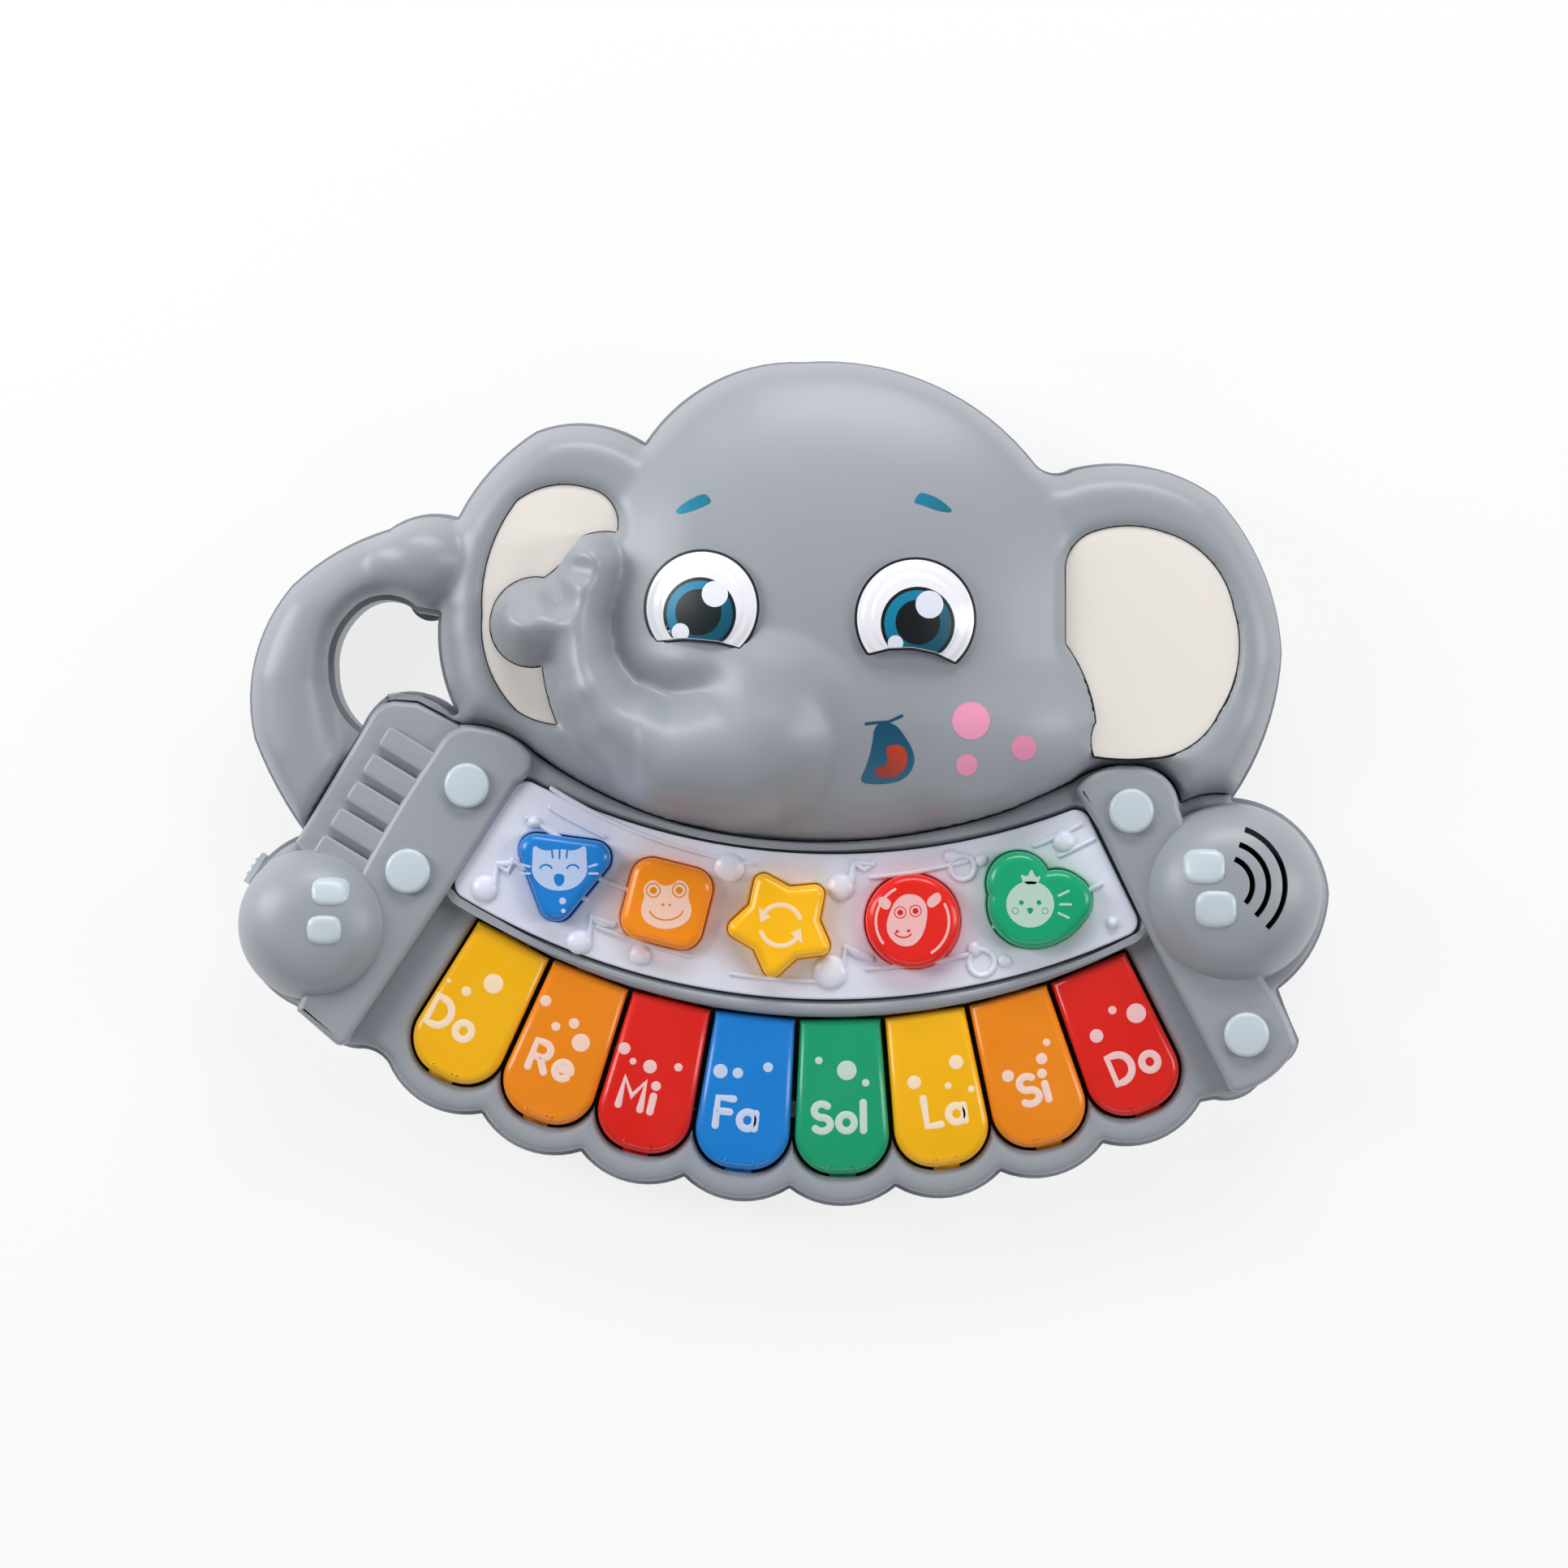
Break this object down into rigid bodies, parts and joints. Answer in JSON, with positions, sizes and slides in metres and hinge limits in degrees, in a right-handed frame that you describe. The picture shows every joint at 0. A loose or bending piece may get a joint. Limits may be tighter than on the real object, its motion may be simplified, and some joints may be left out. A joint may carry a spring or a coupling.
{
  "type": "toy electronic keyboard",
  "caption": "Elephant-shaped toy keyboard with a fan of coloured keys, lit sound buttons, a speaker and a carry handle, lying on its back.",
  "frame": {"origin": "under the middle of the toy's bounding box, on the surface it lies on", "axes": "+X to the toy's right seen from the front, +Y to the top of the head, +Z out of the face"},
  "size_m": [0.2896, 0.2249, 0.0549],
  "materials": {
    "shell_grey": "satin moulded plastic",
    "ear_cream": "satin moulded plastic",
    "eye_white": "polished, printed iris",
    "panel_frost": "frosted translucent",
    "trim_pale": "satin",
    "key_yellow": "glossy",
    "key_orange": "glossy",
    "key_red": "glossy",
    "key_blue": "glossy",
    "key_green": "glossy",
    "button_blue": "translucent",
    "button_orange": "translucent, lit",
    "button_yellow": "translucent, lit",
    "button_red": "translucent, lit",
    "button_green": "translucent, lit",
    "dome_rubber": "silicone",
    "inner_black": "moulded",
    "board_green": "solder mask",
    "chip_black": "epoxy",
    "led_clear": "clear epoxy",
    "screw_steel": "zinc plated",
    "speaker_steel": "pressed steel",
    "speaker_paper": "treated paper",
    "magnet_iron": "ferrite",
    "cell_jacket": "printed jacket",
    "contact_steel": "nickel plated"
  },
  "bodies": {
    "housing": {"batteries": "cell_jacket", "battery_contacts": "contact_steel", "board_components": "chip_black", "board_screws": "screw_steel", "button_board": "board_green", "button_dome_blue": "dome_rubber", "button_dome_green": "dome_rubber", "button_dome_orange": "dome_rubber", "button_dome_red": "dome_rubber", "button_dome_yellow": "dome_rubber", "button_leds": "led_clear", "fist_nails": "trim_pale", "head_shell": "shell_grey", "housing_screws": "screw_steel", "key_board": "board_green", "key_carrier": "inner_black", "key_dome_do_high": "dome_rubber", "key_dome_do_low": "dome_rubber", "key_dome_fa": "dome_rubber", "key_dome_la": "dome_rubber", "key_dome_mi": "dome_rubber", "key_dome_re": "dome_rubber", "key_dome_si": "dome_rubber", "key_dome_sol": "dome_rubber", "keyboard_frame": "shell_grey", "left_ear_insert": "ear_cream", "left_eye": "eye_white", "main_board": "board_green", "music_panel": "panel_frost", "power_switch_body": "inner_black", "rear_shell": "shell_grey", "right_ear_insert": "ear_cream", "right_eye": "eye_white", "speaker_basket": "speaker_steel", "speaker_cone": "speaker_paper", "speaker_magnet": "magnet_iron", "strap_caps": "trim_pale"},
    "key_do_low_body": {"key_do_low": "key_yellow"},
    "key_re_body": {"key_re": "key_orange"},
    "key_mi_body": {"key_mi": "key_red"},
    "key_fa_body": {"key_fa": "key_blue"},
    "key_sol_body": {"key_sol": "key_green"},
    "key_la_body": {"key_la": "key_yellow"},
    "key_si_body": {"key_si": "key_orange"},
    "key_do_high_body": {"key_do_high": "key_red"},
    "button_blue_body": {"button_blue": "button_blue"},
    "button_orange_body": {"button_orange": "button_orange"},
    "button_yellow_body": {"button_yellow": "button_yellow"},
    "button_red_body": {"button_red": "button_red"},
    "button_green_body": {"button_green": "button_green"},
    "switch_knob_body": {"power_switch_knob": "trim_pale"},
    "battery_lid_body": {"battery_door": "shell_grey", "battery_door_screw": "screw_steel"}
  },
  "joints": [
    {"name": "key_do_low_press", "type": "hinge", "parent": "housing", "child": "key_do_low_body", "pos_m": [-0.0686, -0.03568, 0.0165], "axis": [0.8805, -0.4741, 0], "range_deg": [0, 3.6], "stiffness_Nm_per_rad": 0.4, "springref_deg": -1.72, "deforming": ["key_dome_do_low"]},
    {"name": "key_re_press", "type": "hinge", "parent": "housing", "child": "key_re_body", "pos_m": [-0.04892, -0.04471, 0.0165], "axis": [0.9336, -0.3584, 0], "range_deg": [0, 3.6], "stiffness_Nm_per_rad": 0.4, "springref_deg": -1.72, "deforming": ["key_dome_re"]},
    {"name": "key_mi_press", "type": "hinge", "parent": "housing", "child": "key_mi_body", "pos_m": [-0.02826, -0.05116, 0.0165], "axis": [0.9715, -0.2368, 0], "range_deg": [0, 3.6], "stiffness_Nm_per_rad": 0.4, "springref_deg": -1.72, "deforming": ["key_dome_mi"]},
    {"name": "key_fa_press", "type": "hinge", "parent": "housing", "child": "key_fa_body", "pos_m": [-0.00695, -0.05494, 0.0165], "axis": [0.9938, -0.1115, 0], "range_deg": [0, 3.6], "stiffness_Nm_per_rad": 0.4, "springref_deg": -1.72, "deforming": ["key_dome_fa"]},
    {"name": "key_sol_press", "type": "hinge", "parent": "housing", "child": "key_sol_body", "pos_m": [0.01467, -0.05598, 0.0165], "axis": [0.9999, 0.0157, 0], "range_deg": [0, 3.6], "stiffness_Nm_per_rad": 0.4, "springref_deg": -1.72, "deforming": ["key_dome_sol"]},
    {"name": "key_la_press", "type": "hinge", "parent": "housing", "child": "key_la_body", "pos_m": [0.03625, -0.05426, 0.0165], "axis": [0.9898, 0.1426, 0], "range_deg": [0, 3.6], "stiffness_Nm_per_rad": 0.4, "springref_deg": -1.72, "deforming": ["key_dome_la"]},
    {"name": "key_si_press", "type": "hinge", "parent": "housing", "child": "key_si_body", "pos_m": [0.05743, -0.04982, 0.0165], "axis": [0.9636, 0.2672, 0], "range_deg": [0, 3.6], "stiffness_Nm_per_rad": 0.4, "springref_deg": -1.72, "deforming": ["key_dome_si"]},
    {"name": "key_do_high_press", "type": "hinge", "parent": "housing", "child": "key_do_high_body", "pos_m": [0.07788, -0.04272, 0.0165], "axis": [0.9219, 0.3875, 0], "range_deg": [0, 3.6], "stiffness_Nm_per_rad": 0.4, "springref_deg": -1.72, "deforming": ["key_dome_do_high"]},
    {"name": "button_blue_press", "type": "slide", "parent": "housing", "child": "button_blue_body", "axis": [0, 0, -1], "range_m": [0, 0.0018], "stiffness_N_per_m": 600, "springref_m": -0.0006, "deforming": ["button_dome_blue"]},
    {"name": "button_orange_press", "type": "slide", "parent": "housing", "child": "button_orange_body", "axis": [0, 0, -1], "range_m": [0, 0.0018], "stiffness_N_per_m": 600, "springref_m": -0.0006, "deforming": ["button_dome_orange"]},
    {"name": "button_yellow_press", "type": "slide", "parent": "housing", "child": "button_yellow_body", "axis": [0, 0, -1], "range_m": [0, 0.0018], "stiffness_N_per_m": 600, "springref_m": -0.0006, "deforming": ["button_dome_yellow"]},
    {"name": "button_red_press", "type": "slide", "parent": "housing", "child": "button_red_body", "axis": [0, 0, -1], "range_m": [0, 0.0018], "stiffness_N_per_m": 600, "springref_m": -0.0006, "deforming": ["button_dome_red"]},
    {"name": "button_green_press", "type": "slide", "parent": "housing", "child": "button_green_body", "axis": [0, 0, -1], "range_m": [0, 0.0018], "stiffness_N_per_m": 600, "springref_m": -0.0006, "deforming": ["button_dome_green"]},
    {"name": "power_switch_slide", "type": "slide", "parent": "housing", "child": "switch_knob_body", "axis": [0.5491, 0.8358, 0], "range_m": [-0.002, 0.002]},
    {"name": "battery_door_lift", "type": "slide", "parent": "housing", "child": "battery_lid_body", "axis": [0, 0, -1], "range_m": [0, 0.03]}
  ]
}
